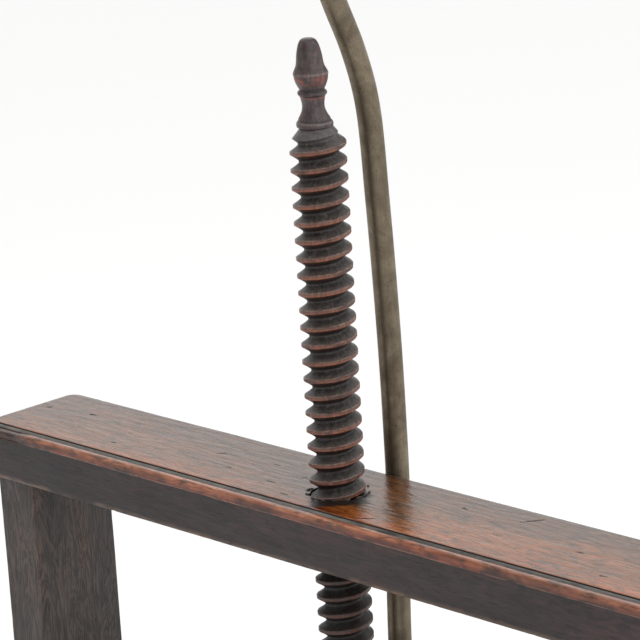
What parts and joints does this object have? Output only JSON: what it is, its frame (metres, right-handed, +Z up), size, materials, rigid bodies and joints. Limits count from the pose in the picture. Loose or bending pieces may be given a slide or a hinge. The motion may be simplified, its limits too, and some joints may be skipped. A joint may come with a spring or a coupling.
{
  "type": "bookbinding press",
  "caption": "Wooden screw book press on a board, with a finialled thread through a moulded beam, a guided platen and a bent brass lamp tube.",
  "frame": {"origin": "on the floor under the middle of the base board, on the axis of the press screw", "axes": "+X along the beam to the right post, -Y to the moulded front, +Z up along the screw"},
  "size_m": [0.68, 0.24, 0.868],
  "materials": {
    "polished_wood": "old waxed hardwood, worn glossy, red-brown with dark edges",
    "dark_wood": "dark stained hardwood with a satin wax finish",
    "screw_wood": "dark turned hardwood with rubbed reddish crests",
    "peg_wood": "plain hardwood pegs, wedges and keys",
    "aged_brass": "aged olive-brown brass, satin",
    "dark_steel": "blackened steel, satin",
    "porcelain": "glazed porcelain insulator",
    "black_plastic": "black moulded insulation"
  },
  "bodies": {
    "frame": {"base_board": "dark_wood", "beam_clip": "aged_brass", "beam_peg_left_back": "peg_wood", "beam_peg_left_front": "peg_wood", "beam_peg_right_back": "peg_wood", "beam_peg_right_front": "peg_wood", "centre_contact": "aged_brass", "check_ring": "aged_brass", "clip_screw_left": "aged_brass", "clip_screw_right": "aged_brass", "cord_bush": "black_plastic", "foot_1": "dark_wood", "foot_2": "dark_wood", "foot_3": "dark_wood", "foot_4": "dark_wood", "foot_screw_1": "dark_steel", "foot_screw_2": "dark_steel", "foot_screw_3": "dark_steel", "foot_screw_4": "dark_steel", "holder_cap": "aged_brass", "holder_shell": "aged_brass", "lamp_tube": "aged_brass", "left_post": "dark_wood", "pin_eye_lower": "dark_steel", "pin_eye_upper": "dark_steel", "right_post": "dark_wood", "socket_block": "porcelain", "socket_liner": "black_plastic", "top_beam": "polished_wood", "tube_collar": "aged_brass", "tube_nut": "aged_brass", "tube_washer": "dark_steel", "wedge_left_back": "peg_wood", "wedge_left_front": "peg_wood", "wedge_right_back": "peg_wood", "wedge_right_front": "peg_wood"},
    "platen": {"platen_board": "dark_wood", "platen_cleat": "dark_wood", "thrust_disc": "dark_steel", "garter_key_front": "peg_wood", "garter_key_back": "peg_wood", "cleat_dowel_1": "peg_wood", "cleat_dowel_2": "peg_wood", "cleat_dowel_3": "peg_wood", "cleat_dowel_4": "peg_wood"},
    "screw": {"press_screw": "screw_wood", "screw_head": "screw_wood"},
    "pin": {"press_pin": "dark_steel"},
    "switch": {"switch_key": "black_plastic"}
  },
  "joints": [
    {"name": "platen_slide", "type": "slide", "parent": "frame", "child": "platen", "axis": [0, 0, 1], "range_m": [-0.0979, 0.022]},
    {"name": "screw_turn", "type": "hinge", "parent": "platen", "child": "screw", "pos_m": [0, 0, 0.24], "axis": [0, 0, 1], "range_deg": [-3206, 722]},
    {"name": "pin_lift", "type": "slide", "parent": "frame", "child": "pin", "axis": [0, 0, 1], "range_m": [0, 0.215]},
    {"name": "switch_turn", "type": "hinge", "parent": "frame", "child": "switch", "pos_m": [0.03, 0, 0.834], "axis": [1, 0, 0], "continuous": true}
  ],
  "couplings": [
    {"joint": "screw_turn", "follows": "platen_slide", "rad_per_m": 571.2}
  ]
}
